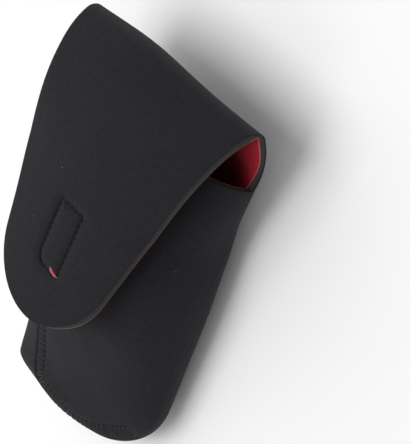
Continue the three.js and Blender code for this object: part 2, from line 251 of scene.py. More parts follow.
def quarter_round(along, length):
    rest = 1 - clamp(along / length)
    return np.sqrt(1 - rest * rest)


def fullness(share, power):
    return np.maximum(0, 1 - np.abs(share) ** power) ** (1 / power)


def half_width(y, depth, side):
    share = clamp(y / FRONT_LENGTH)
    bottom = np.where(side > 0, BOTTOM_RIGHT, BOTTOM_LEFT)
    half = bottom + (MOUTH_WIDTH / 2 - bottom) * share + MOUTH_FLARE * share**FLARE_SHARPNESS - depth
    width, height = (np.where(side > 0, *pair) - depth for pair in zip(RIGHT_CORNER, LEFT_CORNER))
    return half - width * (1 - quarter_round(y - depth, height))


def ridge_height(y):
    return BOTTOM_HEIGHT + (MOUTH_DEPTH / 2 - BOTTOM_HEIGHT) * clamp(y / FRONT_LENGTH)


def tilt(x, y):
    """The bottom seam stands higher at its left end than at its right."""
    return 1 - BOTTOM_TILT * x * (1 - clamp(y / FRONT_LENGTH)) ** 2 / BOTTOM_LEFT


RISE_POWER = math.tan(FOLD_LEAN) * BACK_RISE_RUN / FOLD_Z


def rise_share(y):
    return np.maximum(0, 1 - (FOLD_Y - y) / BACK_RISE_RUN)


def back_rise(y):
    return FOLD_Z * rise_share(y) ** RISE_POWER


def back_slope(y):
    return FOLD_Z * RISE_POWER / BACK_RISE_RUN * rise_share(y) ** (RISE_POWER - 1)


def front_top(y, depth):
    share = clamp(y / FRONT_LENGTH)
    full = MOUTH_DEPTH + FRONT_BELLY * 4 * share * (1 - share)
    nose = (NOSE_HEIGHT - depth) * quarter_round(y - depth, NOSE_LENGTH - depth)
    along = clamp((y - depth) / (WEDGE_LENGTH - depth))
    wedge = along * (1 - WEDGE_CURVE) + WEDGE_CURVE * ease(along)
    return BOTTOM_HEIGHT + nose + (full - BOTTOM_HEIGHT - NOSE_HEIGHT) * wedge


def back_bottom(y, depth):
    wall = depth * np.hypot(1, back_slope(y))
    rounded = quarter_round(y - depth, BACK_ROUND - depth)
    return BOTTOM_HEIGHT + (wall - BOTTOM_HEIGHT) * rounded + back_rise(y)


def tube_point(share, y, depth, front):
    """Point of the body by its share round the half tube, from right to left."""
    across = np.cos(np.pi * share)
    x = across * half_width(y, depth, across)
    ridge = np.where(y <= depth, BOTTOM_HEIGHT, ridge_height(y))
    high = ridge + (front_top(y, depth) - ridge) * fullness(across, FRONT_FULLNESS)
    floor = back_bottom(y, depth)
    low = np.maximum(floor, ridge - (ridge - floor) * (1 + FLAT_BACK) * fullness(across, BACK_FULLNESS))
    return stack(x, y, tilt(x, y) * np.where(front, high, low))


def throat_point(share, along, depth):
    """Point of the throat that joins the mouth's back to the start of the fold."""
    start = tube_point(share, FRONT_LENGTH, depth, False)
    across = np.cos(np.pi * share)
    end = stack(
        across * (FOLD_WIDTH / 2 - np.where(across < 0, FOLD_TRIM, 0)),
        FOLD_Y - depth * math.sin(FOLD_LEAN),
        FOLD_Z + depth * math.cos(FOLD_LEAN),
    )
    reach = np.linalg.norm(end - start, axis=-1, keepdims=True)
    slope = back_slope(FRONT_LENGTH) * fullness(across, BACK_FULLNESS)
    leave = unit(stack(across * MOUTH_FLARE * FLARE_SHARPNESS / FRONT_LENGTH, 1, slope)) * reach
    arrive = np.array([0, math.cos(FOLD_LEAN), math.sin(FOLD_LEAN)]) * reach
    t = np.asarray(along, float)[..., None]
    return start * (1 - ease(t)) + leave * t * (1 - t) ** 2 + end * ease(t) - arrive * t * t * (1 - t)


# Shape of the fold and the flap


def profile_angle(s, settle):
    lay = math.pi + FLAP_PITCH
    late = lay - (lay - FOLD_LEAN - FOLD_TURN) * np.exp((FOLD_ARC - np.maximum(s, FOLD_ARC)) / settle)
    return np.where(s < FOLD_ARC, FOLD_LEAN + s / FOLD_RADIUS, late)


def profile_line(settle):
    """Lengths along the middle of the fold and the flap, with their Y and Z."""
    step = FLAP_LENGTH / PROFILE_STEPS
    angle = profile_angle((np.arange(PROFILE_STEPS) + 0.5) * step, settle)
    y = FOLD_Y + added_up(step * np.cos(angle))
    z = FOLD_Z + added_up(step * np.sin(angle))
    return np.arange(PROFILE_STEPS + 1) * step, y, z


def settled_length():
    """The flap settles so that its hooks reach the loops on the front."""
    room_wanted = SHEET + HOOK_HEIGHT + LOOP_HEIGHT + PRESS_GAP + 2 * CLEARANCE
    patch = HOOK_CENTRE + np.linspace(-0.5, 0.5, 7) * LOOP_SIZE[1]
    low, high = FOLD_RADIUS, FLAP_LENGTH
    for _ in range(40):
        middle = (low + high) / 2
        s, y, z = profile_line(middle)
        room = np.interp(patch, s, z) - front_top(np.interp(patch, s, y), 0) - room_wanted
        low, high = (low, middle) if room.min() > 0 else (middle, high)
    return (low + high) / 2


SETTLE = settled_length()
PROFILE_AT, PROFILE_Y, PROFILE_Z = profile_line(SETTLE)


def flap_half_width(s):
    root, centre = FOLD_ARC / 2, FLAP_LENGTH - TIP_RADIUS
    taper = math.asin((FOLD_WIDTH / 2 - TIP_RADIUS) / (centre - root))
    tangent = centre + TIP_RADIUS * math.sin(taper)
    share = clamp((s - root) / (tangent - root))
    straight = FOLD_WIDTH / 2 + (TIP_RADIUS * math.cos(taper) - FOLD_WIDTH / 2) * share
    return np.where(s < tangent, straight, np.sqrt(np.maximum(0, TIP_RADIUS**2 - (s - centre) ** 2)))


def flap_drift(s):
    return FLAP_DRIFT * np.maximum(0, s - FOLD_ARC) / (FLAP_LENGTH - FOLD_ARC)


def flap_point(s, share, depth):
    """Point of the flap at a length from the fold and a share of its half width."""
    y, z = np.interp(s, PROFILE_AT, PROFILE_Y), np.interp(s, PROFILE_AT, PROFILE_Z)
    angle = profile_angle(s, SETTLE)
    bowed = clamp((s - FOLD_ARC) / (FLAP_LENGTH - TIP_RADIUS - FOLD_ARC))
    trim = FOLD_TRIM * (1 - clamp(s / TRIM_LENGTH)) ** 2 - FLAP_BOW * np.sin(np.pi * bowed) ** 2
    across = share * (flap_half_width(s) - np.where(share < 0, trim, 0))
    grow = np.minimum(1, np.maximum(0, s - FOLD_ARC) / CROWN_GROW)
    drop = FLAP_CROWN * grow * (2 * across / CROWN_WIDTH) ** 2
    return stack(across - flap_drift(s), y - depth * np.sin(angle), z + depth * np.cos(angle) - drop)


def front_height(x, y, depth):
    ridge = ridge_height(y)
    share = np.minimum(1, np.abs(x) / half_width(y, depth, x))
    return tilt(x, y) * (ridge + (front_top(y, depth) - ridge) * fullness(share, FRONT_FULLNESS))


def front_point(x, y, above, depth=0.0):
    """Point at a height above the front's face, along the face's normal."""
    height = lambda dx, dy: front_height(x + dx, y + dy, depth)
    normal = unit(stack(height(-0.5, 0) - height(0.5, 0), height(0, -0.5) - height(0, 0.5), 1))
    return stack(x, y, height(0, 0)) + normal * np.asarray(above)[..., None]


HOOK_Y = float(np.interp(HOOK_CENTRE, PROFILE_AT, PROFILE_Y))
HOOK_DRIFT = float(flap_drift(HOOK_CENTRE))


def at_hooks(x, s, depth):
    """Point at a depth in the flap, counted from the middle of the hook strip."""
    s = HOOK_CENTRE + s
    return flap_point(s, (x - HOOK_DRIFT + flap_drift(s)) / flap_half_width(s), depth)


def at_loops(x, y, above, depth=0.0):
    """Point above the front's face, counted from the middle of the loop strip."""
    return front_point(x - HOOK_DRIFT, HOOK_Y + y, above, depth)


# Lines of stitching


def on_line(where, at, line):
    """Each coordinate of a line of points at places along it."""
    return np.stack([np.interp(where, at, values) for values in line.T])


def line_of(corners, step):
    """Evenly spaced points along straight runs between corners."""
    corners = np.asarray(corners, float)
    at = added_up(gaps(corners))
    return on_line(np.linspace(0, at[-1], max(2, round(at[-1] / step) + 1)), at, corners).T


def bow(a, b, c):
    t = np.linspace(0, 1, 12)[:, None]
    return (1 - t) ** 2 * np.array(a) + 2 * t * (1 - t) * np.array(b) + t * t * np.array(c)


def seam_course(depth=0.0):
    """Middle of the seam on the front, in X and Y: down the left side and along the bottom."""
    left = lambda y: SEAM_INSET - float(half_width(y, 0.0, -1))
    low_y = SEAM_BOTTOM + depth
    corner_top = low_y + SEAM_CORNER
    top, low = (left(FRONT_LENGTH), FRONT_LENGTH - SEAM_RIM), (left(corner_top), corner_top)
    corner_end = (low[0] + SEAM_CORNER, low_y)
    right = float(half_width(RIGHT_CORNER[1], 0.0, 1))
    turn = (right - RIGHT_CORNER[0], low_y - SEAM_DROP)
    end = (right - SEAM_END - depth, RIGHT_CORNER[1] / 2)
    bend = ((turn[0] + end[0]) / 2, turn[1])
    runs = [[top, low], bow(low, (low[0], low_y), corner_end), [corner_end, turn], bow(turn, bend, end)]
    if depth == 0:
        runs.append([(end[0] + x, end[1] + y) for x, y in SEAM_RUN_ON])
    return line_of(np.concatenate(runs), COURSE_STEP)


def stitch_box(size, radii, step):
    """Closed run of points inside the edge of a strip, with round corners, in X and S."""
    w, l = size[0] / 2 - STITCH_INSET, size[1] / 2 - STITCH_INSET
    corners = []
    for sx, sy, start, r in zip((1, -1, -1, 1), (1, 1, -1, -1), (0, 90, 180, 270), radii):
        for a in np.radians(start + np.linspace(0, 90, 7)):
            corners.append((sx * (w - r) + r * math.cos(a), sy * (l - r) + r * math.sin(a)))
    return line_of(corners + corners[:1], step)


def hook_box(step):
    """The box of stitches that holds the hook strip, sewn askew; one corner was sewn round."""
    box = stitch_box(HOOK_SIZE, HOOK_CORNERS, step)
    box[:, 0] += BOX_ASIDE - BOX_LEAN * (box[:, 1] + HOOK_SIZE[1] / 2)
    return box


# Relief of the sheet: slow swells, and a dip along each line of stitching


def uneven(points, height):
    """Waves, none at the closure, the fold and the table, and this pouch's own forms."""
    x, y, z = np.moveaxis(points, -1, 0)
    waves = (
        np.sin(x / 11.0 + y / 23.0 + 0.7) * np.sin(y / 15.0 - z / 19.0 + 1.1)
        + 0.6 * np.sin(x / 7.3 - y / 12.1 + 2.3) * np.sin(y / 9.7 + z / 13.0)
        + 0.35 * np.sin(x / 4.1 + y / 6.3 + z / 5.2)
    )
    closure = bell((x + HOOK_DRIFT) ** 2 + (y - HOOK_Y) ** 2, 34.0**2)
    away = (1 - closure) * (1 - bell(y - FOLD_Y, 20.0))
    dent = DENT * ramp(x, 12, 24) * bell(z - ridge_height(y), 14) * bell(y - 100, 16)
    lip = BOTTOM_LIP * bell(x + 6, 15) * bell(y, 7)
    fold = FOLD_BOW * bell(x + 14, 26) * bell(y - FOLD_Y, 13) * ramp(z, 18, 12)
    return height * waves * away * ramp(z, 0, 9.0) + (lip + fold - dent)


def groove_share(away, width):
    """A narrow groove in a wide dip."""
    return 0.62 * bell(away, width) + 0.38 * bell(away, 3.5 * width)


def seam_share(away, half):
    """A shallow bed as wide as the seam, with a deeper line of needle holes at each edge."""
    return 0.35 * ramp(half + 0.6 - away, 0, 0.7) + 0.65 * bell(away - half, 0.55)


def pulled_in(points, line, profile, pitch):
    """How far stitches along a line pull the face in, deeper at each hole."""
    tree = KDTree(len(line))
    for i, place in enumerate(line):
        tree.insert(place, i)
    tree.balance()
    found = [tree.find(point) for point in points]
    away, along = np.array([f[2] for f in found]), np.array([f[1] for f in found]) * COURSE_STEP
    return profile(away, along) + PUCKER * np.cos(2 * np.pi * along / pitch) * bell(away, 2.0)


# Mesh making


def in_scene(name, data):
    made = bpy.data.objects.new(name, data)
    bpy.context.scene.collection.objects.link(made)
    return made


class Skein:
    """Points and faces of one piece, before its mesh is made."""

    def __init__(self):
        self.points, self.faces, self.corners, self.count = [], [], [], 0

    def add(self, points, faces, corners):
        self.points.append(points)
        self.faces += [[i + self.count for i in face] for face in faces]
        self.corners += corners
        self.count += len(points)

    def tube(self, path, radius, sides=7, ply=0.0, lay=1.0, under=0):
        """Round thread along a path, of three twisted plies; an under thread is marked so that its finish
        paints it near black as painted shade.
        """
        run = unit(np.gradient(path, axis=0))
        side = np.cross(run[0], ASKEW)
        along = added_up(gaps(path))
        radii = np.broadcast_to(radius, len(path))
        turn = np.arange(sides) / sides * 2 * np.pi
        cos, sin = np.cos(turn)[:, None], np.sin(turn)[:, None]
        rings = []
        for i, place in enumerate(path):
            side = unit(side - run[i] * (side @ run[i]))
            lobes = radii[i] * (1 + ply * np.cos(3 * (turn - along[i] / lay * 2 * np.pi / 3)))
            rings.append(place + lobes[:, None] * (cos * side + sin * np.cross(run[i], side)))
        faces = [list(range(sides))[::-1]]
        corners = [(0.0, 0.0)] * sides
        for i in range(len(path) - 1):
            low, high = float(along[i]), float(along[i + 1])
            for k in range(sides):
                n = (k + 1) % sides
                faces.append([i * sides + k, i * sides + n, (i + 1) * sides + n, (i + 1) * sides + k])
                left, right = k / sides - under, (k + 1) / sides - under
                corners += [(left, low), (right, low), (right, high), (left, high)]
        faces.append([(len(path) - 1) * sides + k for k in range(sides)])
        corners += [(0.0, 0.0)] * sides
        self.add(np.concatenate(rings), faces, corners)

    def piece(self, name, finish):
        mesh = bpy.data.meshes.new(name)
        mesh.from_pydata(metres(np.concatenate(self.points)).tolist(), [], self.faces)
        layer = mesh.uv_layers.new(name="cut")
        layer.data.foreach_set("uv", np.asarray(self.corners, np.float32).ravel())
        mesh.shade_smooth()
        mesh.set_sharp_from_angle(angle=math.radians(SHARP_ANGLE))
        mesh.materials.append(finish)
        return in_scene(name, mesh)

    def dress(self, name, slot, body, solid, finish=None):
        """Makes the piece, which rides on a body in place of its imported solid."""
        made = self.piece(name, pouch_finish(finish or slot))
        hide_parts(solid)
        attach(made, body)


def layer_faces(cells, size, cut_uv):
    """Closed skin of a layer from the cells of its face: two faces and, last, cut edges."""
    faces, corners, used = [], [], {}
    for cell, uvs in zip(cells, cut_uv):
        kept = [(v, uv) for n, (v, uv) in enumerate(zip(cell, uvs)) if v != cell[n - 1]]
        if len(kept) < 3:
            continue
        ids, uvs = zip(*kept)
        faces += [ids, [v + size for v in ids[::-1]]]
        corners += uvs + uvs[::-1]
        for (low, uv_low), (high, uv_high) in zip(kept[-1:] + kept[:-1], kept):
            used[(low, high)] = (uv_low, uv_high)
    edge, first_cut = set(), len(faces)
    for (a, b), (uv_a, uv_b) in used.items():
        if (b, a) not in used:
            edge |= {a, b}
            faces.append([b, a, a + size, b + size])
            corners += [uv_b, uv_a, uv_a, uv_b]
    return faces, corners, sorted(edge), first_cut


def trimmed(points, faces):
    """Points and faces without the points that no face uses."""
    kept = np.unique([v for face in faces for v in face])
    order = np.full(len(points), -1)
    order[kept] = np.arange(len(kept))
    return points[kept], [[int(order[v]) for v in face] for face in faces]


def cells_of(ids, u, v):
    """Cells of a grid, with each corner's place on the flat cut in millimetres."""
    cells, places = [], []
    for i in range(len(ids) - 1):
        for j in range(len(ids[0]) - 1):
            corner = ((i, j), (i + 1, j), (i + 1, j + 1), (i, j + 1))
            cells.append([ids[a][b] for a, b in corner])
            places.append([(float(u[a][b]), float(v[a][b])) for a, b in corner])
    return cells, places


class Sheet:
    """Grid of a padded sheet with its relief."""

    def __init__(self, sizes):
        self.cells, self.uv = [], []
        self.base, self.deep = self.grid(0.0), self.grid(SHEET)
        self.out = unit(self.base - self.deep)
        self.wave = uneven(self.base, sizes.swell_height)
        self.groove = self.tuck = self.slant = self.trim = 0.0
        self.relief(sizes)

    def at(self, depth):
        """Points at a depth: swells move all, stitches the face, tucks the lining, trims the cut edge."""
        share = depth / SHEET
        move = self.wave - self.groove * (1 - share) + self.tuck * share
        return self.grid(depth) + self.out * move[:, None] + self.slant * share - self.trim

    def lay(self, ids, u, v):
        cells, places = cells_of(ids, u, np.broadcast_to(v[:, None], np.shape(ids)))
        self.cells += cells
        self.uv += places

    def layer(self, name, depths, finish, soften, cut_finish=None):
        """One layer, its cut edge drawn in where scissors press it."""
        outer, inner = self.at(depths[0]), self.at(depths[1])
        faces, corners, edge, first_cut = layer_faces(self.cells, len(outer), self.uv)
        edge = [v for v in edge if v not in self.inner_row]
        pressed = outer if soften > 0 else inner
        pressed[edge] -= self.out[edge] * soften
        points, faces = trimmed(np.concatenate([outer, inner]), faces)
        skein = Skein()
        skein.add(points, faces, corners)
        made = skein.piece(name, finish)
        if cut_finish:
            made.data.materials.append(cut_finish)
            is_cut = (np.arange(len(faces)) >= first_cut).astype(np.int32)
            made.data.polygons.foreach_set("material_index", is_cut)
        return made


class BodySheet(Sheet):
    """A tube closed at the bottom, whose back runs on over the throat to the middle of the fold."""

    def __init__(self, sizes, coarse=1):
        seam = math.acos((SEAM_INSET - SEAM_HALF) / SEAM_HALF) / math.pi
        near = [0, seam - 0.1, seam - 0.075, seam + 0.07, seam + 0.095, 1]
        self.shares = thinned(spread(near, [0.0095, 0.0095, 0.0042, 0.0042, 0.0105, 0.0115]), coarse)
        self.rows = spread(*BODY_ROWS)[::coarse] / FRONT_LENGTH
        self.rows[-1] = 1
        self.throat = np.linspace(0, 1, 24 // coarse + 1)[1:]
        self.strip = np.linspace(0, MID_STRIP, 20 // coarse + 1)[1:]
        self.count = len(self.shares) - 1
        super().__init__(sizes)
        self.lay_cells()

    def grid(self, depth):
        r, c = len(self.rows), self.count
        y = depth + (FRONT_LENGTH - depth) * self.rows[:, None]
        front = tube_point(self.shares[None, :], y, depth, True)
        back = tube_point(self.shares[None, ::-1], y, depth, False)
        tube = np.concatenate([front, back[:, 1:-1]], axis=1).reshape(r * 2 * c, 3)
        throat = throat_point(self.shares[None, ::-1], self.throat[:, None], depth)
        strip = flap_point(self.strip[:, None], np.cos(np.pi * self.shares[::-1])[None, :], depth)
        return np.concatenate([tube, throat.reshape(-1, 3), strip.reshape(-1, 3)])

    def relief(self, sizes):
        self.groove, self.tuck = np.zeros((2, len(self.base)))
        front = self.base[:, 2] > ridge_height(self.base[:, 1]) - 1
        course = seam_course()
        length = (len(course) - 1) * COURSE_STEP
        fade = lambda along: sizes.seam_depth * ramp(length - along, 0, SEAM_FADE)
        bed = lambda away, along: fade(along) * seam_share(away, sizes.seam_width / 2)
        line = front_point(course[:, 0], course[:, 1], 0.0)
        self.groove[front] = pulled_in(self.base[front], line, bed, sizes.seam_pitch)
        box = stitch_box(LOOP_SIZE, LOOP_CORNERS, COURSE_STEP)
        shallow = lambda away, _: 0.3 * groove_share(away, 0.75)
        self.tuck[front] = pulled_in(self.deep[front], at_loops(*box.T, 0.0, SHEET), shallow, 3.0)
        crease = FOLD_CREASE * bell(self.strip - FOLD_ARC / 2, 2.3)
        self.tuck[-len(self.strip) * (self.count + 1) :] += np.repeat(crease, self.count + 1)

    def tube_id(self, row, k):
        c = self.count
        if row == 0 and k > c:
            k = 2 * c - k
        return row * 2 * c + k % (2 * c)

    def lay_cells(self):
        c, r = self.count, len(self.rows)
        rows = [[self.tube_id(row, k) for k in range(2 * c + 1)] for row in range(r)]
        back = [rows[-1][c:]] + np.arange(r * 2 * c, len(self.base)).reshape(-1, c + 1).tolist()
        along = lambda ids: added_up(gaps(self.base[np.array(ids)]).mean(axis=1))
        across = lambda ids: added_up(gaps(self.base[ids]))
        from_right = lambda ids: [length - length[-1] for length in map(across, ids)]
        v_tube = along(rows)
        v_back = v_tube[-1] + along(back)
        front, behind = [row[: c + 1] for row in rows], [row[c:] for row in rows]
        self.lay(front, [across(row) for row in front], v_tube)
        self.lay(behind, from_right(behind), v_tube)
        self.lay(back, from_right(back), v_back)
        self.inner_row = set(back[-1][1:-1])
        self.middle_length = float(v_back[-1])
        self.flat = (float(across(rows[r // 2])[-1]), self.middle_length)


class FlapSheet(Sheet):
    """The flap, from the middle of the fold to the tip."""

    def __init__(self, sizes, start_length, coarse=1):
        self.columns = thinned(spread(*FLAP_COLUMNS), coarse)
        straight = spread(*FLAP_ROWS)[::coarse]
        centre = FLAP_LENGTH - TIP_RADIUS
        reach = math.asin((TIP_START - centre) / TIP_RADIUS)
        tip = centre + TIP_RADIUS * np.sin(np.linspace(reach, math.pi / 2, 34 // coarse + 1))
        self.lengths = np.concatenate([straight[straight < TIP_START - 0.1], tip])
        super().__init__(sizes)
        rows, columns = len(self.lengths), len(self.columns)
        ids = np.arange(rows * columns).reshape(rows, columns)
        ids[-1] = ids[-1, 0]
        ids = ids.tolist()
        across = self.columns * flap_half_width(self.lengths)[:, None]
        self.lay(ids, across - FOLD_WIDTH / 2, self.lengths - MID_STRIP + start_length)
        self.inner_row = set(ids[0][1:-1])
        self.flat = (FOLD_WIDTH, FLAP_LENGTH - MID_STRIP)

    def grid(self, depth):
        return flap_point(self.lengths[:, None], self.columns[None, :], depth).reshape(-1, 3)

    def relief(self, sizes):
        """The box of stitches and, round the tip, the slanted cut past which the lining reaches."""
        box = hook_box(COURSE_STEP)
        deep = lambda away, _: sizes.box_depth * groove_share(away, 0.62)
        self.groove = pulled_in(self.base, at_hooks(*box.T, 0.0), deep, sizes.box_pitch)
        centre = FLAP_LENGTH - TIP_RADIUS
        away = self.base - flap_point(centre, 0.0, 0.0)
        away = away - self.out * (away * self.out).sum(axis=1, keepdims=True)
        rim = ramp(np.linalg.norm(away, axis=1) - TIP_RADIUS, -3, 2.6)
        rim = rim * np.repeat(ramp(self.lengths, centre, 14), len(self.columns))
        away = unit(away)
        self.slant = away * (TIP_SLANT * rim * ramp(away[:, 0], -0.55, 0.45))[:, None]
        self.trim = away * (TIP_TRIM * rim * ramp(away[:, 0], -0.05, 0.7))[:, None]


# Shader maths


def operator(operation, flipped=False):
    """A method that adds a Math node for an operation with a number or another socket."""

    def act(self, other):
        first, second = (other, self) if flipped else (self, other)
        return self.finish.node("ShaderNodeMath", {"operation": operation}, {0: first, 1: second})

    return act


class Term:
    """A socket that takes part in sums: each operator adds a Math node."""

    __add__ = __radd__ = operator("ADD")
    __sub__, __rsub__ = operator("SUBTRACT"), operator("SUBTRACT", True)
    __mul__ = __rmul__ = operator("MULTIPLY")
    __truediv__, __lt__ = operator("DIVIDE"), operator("LESS_THAN")

    def __init__(self, finish, socket):
        self.finish, self.socket = finish, socket

    def fold(self, name):
        return self.finish.node("ShaderNodeMath", {"operation": name}, {0: self})

    def held(self):
        """The same value, held between 0 and 1."""
        return self.finish.node("ShaderNodeClamp", {}, {0: self})


class Finish:
    """Node tree of one material round a Principled shader."""

    def __init__(self, name, **constants):
        self.material = bpy.data.materials.new(name)
        self.material.use_nodes = True
        self.tree = self.material.node_tree
        self.shader = self.tree.nodes["Principled BSDF"]
        for key, value in constants.items():
            self.feed(self.shader.inputs[key.replace("_", " ").title().replace("Ior", "IOR")], value)

    def node(self, kind, settings=None, sockets=None, output=0):
        made = self.tree.nodes.new(kind)
        for key, value in (settings or {}).items():
            setattr(made, key, value)
        for key, value in (sockets or {}).items():
            self.feed(made.inputs[key], value)
        return Term(self, made.outputs[output])

    def feed(self, socket, value):
        if isinstance(value, Term):
            self.tree.links.new(value.socket, socket)
        else:
            socket.default_value = value

    def cut_place(self):
        """Place on the flat cut in millimetres, as its two numbers and as a vector."""
        place = self.node("ShaderNodeUVMap", {"uv_map": "cut"}, output="UV")
        u = self.node("ShaderNodeSeparateXYZ", {}, {0: place})
        return u, Term(self, u.socket.node.outputs[1]), place

    def spot(self):
        """Place in the object in metres."""
        return self.node("ShaderNodeTexCoord", output="Object")

    def noise(self, where, scale, detail=3.0, roughness=0.5):
        sockets = {"Vector": where, "Scale": scale, "Detail": detail, "Roughness": roughness}
        return self.node("ShaderNodeTexNoise", {}, sockets)

    def cells(self, where, scale):
        return self.node("ShaderNodeTexVoronoi", {"feature": "F1"}, {"Vector": where, "Scale": scale})

    def mix(self, factor, a, b):
        return self.node("ShaderNodeMix", {"data_type": "RGBA"}, {0: factor, 6: a, 7: b}, output=2)

    def surface(self, colour, height, distance, strength=0.8):
        """Colour and fine relief of the whole surface."""
        sockets = {"Height": height, "Distance": distance, "Strength": strength}
        self.feed(self.shader.inputs["Base Color"], colour)
        self.feed(self.shader.inputs["Normal"], self.node("ShaderNodeBump", {}, sockets))
        return self.material


def shade(colour, factor):
    return tuple(min(1.0, c * factor) for c in colour[:3]) + (1.0,)


def knit_stitches(finish, u, v, wale, course):
    """Height of a plain knit face: columns of small V-shaped stitches."""
    side = ((u / wale).fold("FRACT") - 0.5).fold("ABSOLUTE") * 2
    leg = (v / course + side * 0.55).fold("FRACT")
    hump = (leg * math.pi).fold("SINE")
    ridge = (side * math.pi).fold("SINE")
    return hump * (0.35 + ridge * 0.65)


def black_knit_finish(name, sizes, colours):
    """Knit with lint in it, worn paler in patches and grains."""
    sheen = {"sheen_weight": 0.09, "sheen_roughness": 0.45, "sheen_tint": (0.8, 0.82, 0.85, 1)}
    finish = Finish(name, roughness=0.9, specular_ior_level=0.2, **sheen)
    u, v, place = finish.cut_place()
    stitches = knit_stitches(finish, u, v, sizes.wale, sizes.wale * 0.78)
    worn = finish.noise(place, 0.05, 4.0, 0.6)
    grain = finish.noise(place, 0.55, 3.0, 0.75)
    yarn = finish.noise(place, 1.7, 2.0, 0.6)
    dark, pale = shade(colours.knit, 0.15), shade(colours.knit, 2.1)
    body = finish.mix(worn * 0.2 + grain * 0.8 + yarn * 0.15 + stitches * 0.2 - 0.2, dark, pale)
    body = finish.mix((finish.cells(place, 0.09) < 0.018) * 0.5, body, (0.35, 0.36, 0.33, 1))
    return finish.surface(body, stitches * 0.7 + yarn * 0.6 + grain * 0.8, 0.00016, 0.9)


def foam_finish(name, colours):
    finish = Finish(name, roughness=0.92, specular_ior_level=0.2)
    where = finish.spot()
    pores, grain = finish.cells(where, 2600.0), finish.noise(where, 900.0)
    tone = finish.mix(pores * 0.7 + grain * 0.4, shade(colours.foam, 0.6), shade(colours.foam, 1.35))
    return finish.surface(tone, pores + grain * 0.6, 0.00014, 0.9)


def red_lining_finish(name, sizes, colours):
    """Napped knit, with painted shade that darkens its colour well inside the mouth."""
    sheen = {"sheen_weight": 0.06, "sheen_roughness": 0.4, "sheen_tint": (1.0, 0.45, 0.5, 1)}
    finish = Finish(name, roughness=0.85, specular_ior_level=0.15, **sheen)
    u, v, place = finish.cut_place()
    stitches = knit_stitches(finish, u, v, sizes.wale * 0.9, sizes.wale * 0.7)
    nap = finish.noise(place, 0.9, 3.0, 0.65)
    tone = finish.mix(stitches * 0.35 + nap * 0.55, shade(colours.lining, 0.75), shade(colours.lining, 1.2))
    # Painted shade: away from the side edges and deep in the mouth, the colour is mixed up to SHADE_MOST of
    # the way to near black
    from_edge = SHADE_REACH - (u.fold("ABSOLUTE") - SHADE_REACH).fold("ABSOLUTE")
    middle, inside = (from_edge - 1.0) / SHADE_RISE, (SHADE_END - v) / SHADE_FADE
    tone = finish.mix(middle.held() * inside.held() * SHADE_MOST, tone, shade(colours.lining, 0.02))
    return finish.surface(tone, stitches * 0.6 + nap * 0.6, 0.0001)


def thread_finish(name, colour, sheen, roughness=0.55):
    """Twisted fibres; a thread that lies under others is painted near black, painted shade between the
    threads over it.
    """
    sheen = {"sheen_weight": sheen, "sheen_roughness": 0.35}
    finish = Finish(name, roughness=roughness, specular_ior_level=0.4, **sheen)
    u, v, _ = finish.cut_place()
    fibres = ((u * 9 + v * 3.2).fold("FRACT") * math.pi).fold("SINE")
    fuzz = finish.noise(finish.spot(), 1500.0, 2.0)
    tone = finish.mix(fibres * 0.55 + fuzz * 0.35, shade(colour, 0.62), shade(colour, 1.3))
    # Painted shade: faces marked as an under thread's, below -0.5 across on the cut, are mixed most of the
    # way to black
    tone = finish.mix((u < -0.5) * 0.9, tone, (0.001, 0.001, 0.001, 1))
    return finish.surface(tone, fibres + fuzz * 0.5, 0.00005)


def tape_finish(name, colour):
    finish = Finish(name, roughness=0.6, specular_ior_level=0.35, sheen_weight=0.05, sheen_roughness=0.4)
    u, v, place = finish.cut_place()
    over = (u * math.pi / 0.42).fold("SINE") * (v * math.pi / 0.42).fold("SINE")
    grain = finish.noise(place, 2.2, 2.0)
    tone = finish.mix(over * 0.3 + grain * 0.5 + 0.2, shade(colour, 0.7), shade(colour, 1.35))
    return finish.surface(tone, over + grain * 0.3, 0.00006)


def pouch_finish(slot):
    """The finish of a material slot, made once."""
    scene = bpy.context.scene
    name, sizes, colours = "pouch_" + slot, scene.pouch_sizes, scene.pouch_colours
    makers = {
        "black_knit": (black_knit_finish, sizes, colours),
        "neoprene_foam": (foam_finish, colours),
        "red_lining": (red_lining_finish, sizes, colours),
        "lining_cut": (thread_finish, colours.cut_edge, 0.3),
        "hook_tape": (tape_finish, colours.tape),
        "loop_tape": (tape_finish, shade(colours.tape, 1.15)),
        "black_thread": (thread_finish, colours.thread, 0.06),
        # Painted highlight: the seam's thread is given twice the colour of the same black thread used in the
        # boxes
        "seam_thread": (thread_finish, shade(colours.thread, 2.0), 0.04, 0.6),
        "red_thread": (thread_finish, colours.red_thread, 0.5, 0.35),
    }
    maker, *values = makers[slot]
    return bpy.data.materials.get(name) or maker(name, *values)


# Pieces


# Bodies between which a sheet bends, and where the bend starts and ends
BODY_TO_FOLD = ("pouch_body", "fold_strip", (0, 146.0, 30.0), (0, 150.0, 36.3))
FOLD_TO_FLAP = ("fold_strip", "flap", (0, 150.5, 38.3), (0, 134.0, 46.5))


def size(name, about, default, least=0.0):
    return FloatProperty(name=name, description=about + ", mm", default=default, min=least)


def colour(name, about, default):
    about = "Colour of " + about
    return FloatVectorProperty(name=name, description=about, subtype="COLOR", size=3, default=default)


class PouchSizes(PropertyGroup):
    swell_height: size("Swell", "Height of the slow unevenness of the sheet", 0.2)
    wale: size("Wale", "Width of one column of knit stitches", 0.72, 0.2)
    seam_depth: size("Seam depth", "How far the flatlock seam lies below the face", 1.35)
    seam_pitch: size("Seam pitch", "Length of one zigzag of the seam", 2.4, 1.0)
    seam_width: size("Seam width", "Width of the seam's zigzag", 5.8, 1.0)
    box_depth: size("Box depth", "How far the box of stitches pulls the flap in", 1.55)
    box_pitch: size("Box pitch", "Length of one stitch of the box", 2.6, 1.0)
    thread: size("Thread", "Thickness of the threads", 0.5, 0.1)
    hook_pitch: size("Hook pitch", "Distance between hooks", 1.25, 0.5)
    loop_count: IntProperty(name="Loops", description="Number of loops on the strip", default=1100, min=10)


